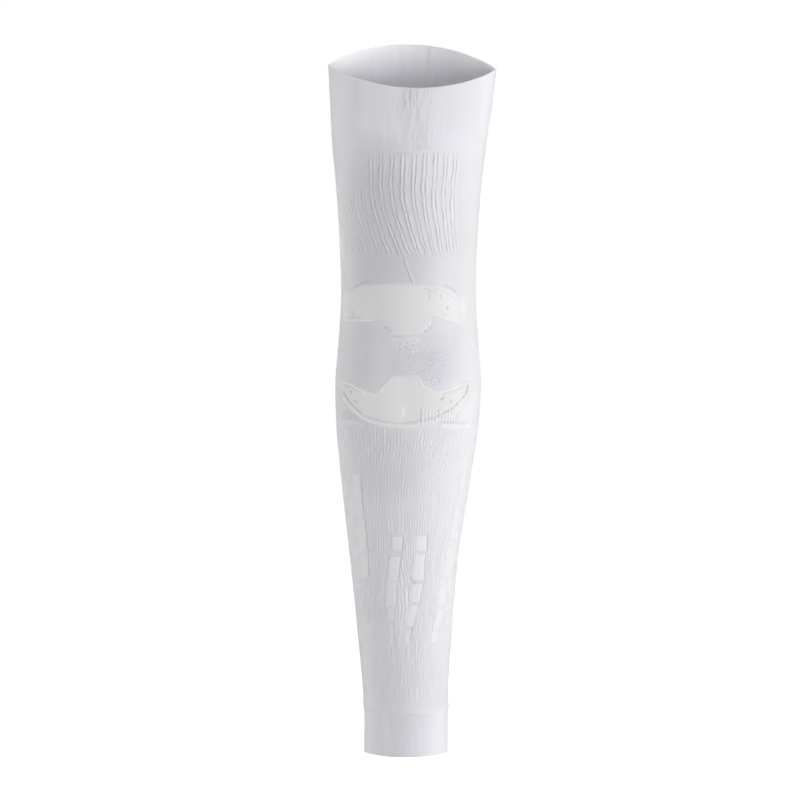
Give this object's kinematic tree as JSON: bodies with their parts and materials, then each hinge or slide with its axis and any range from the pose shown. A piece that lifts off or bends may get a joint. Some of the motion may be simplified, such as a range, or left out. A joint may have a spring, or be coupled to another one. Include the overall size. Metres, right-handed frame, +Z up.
{
  "type": "arm compression sleeve",
  "caption": "White knitted tube worn on an arm from upper arm to wrist, with a doubled top band, a ribbed panel, elbow pads, forearm strips and a wrist cuff",
  "frame": {"origin": "on the arm's axis inside the hollow, level with the elbow", "axes": "+Z up the arm towards the shoulder, -Y the padded front, +X to the right seen from the front"},
  "size_m": [0.1043, 0.0761, 0.4407],
  "materials": {
    "knit": "matte ribbed knit",
    "welt": "matte fine plain knit",
    "pad": "smooth dense knit",
    "strip": "smooth flat strip"
  },
  "bodies": {
    "root": {"top_band": "welt", "upper_arm_knit": "knit", "elbow_knit": "knit", "forearm_knit": "knit", "wrist_cuff": "welt", "upper_elbow_pad": "pad", "lower_elbow_pad": "pad", "strip_left_1": "strip", "strip_left_2": "strip", "strip_left_3": "strip", "strip_left_4": "strip", "strip_left_5": "strip", "strip_mid_left_1": "strip", "strip_mid_left_2": "strip", "strip_mid_left_3": "strip", "strip_mid_left_4": "strip", "strip_mid_left_5": "strip", "strip_mid_right_1": "strip", "strip_mid_right_2": "strip", "strip_mid_right_3": "strip", "strip_mid_right_4": "strip", "strip_mid_right_5": "strip", "strip_right_1": "strip", "strip_right_2": "strip", "strip_right_3": "strip", "strip_right_4": "strip", "strip_right_5": "strip", "strip_right_6": "strip"}
  },
  "joints": []
}
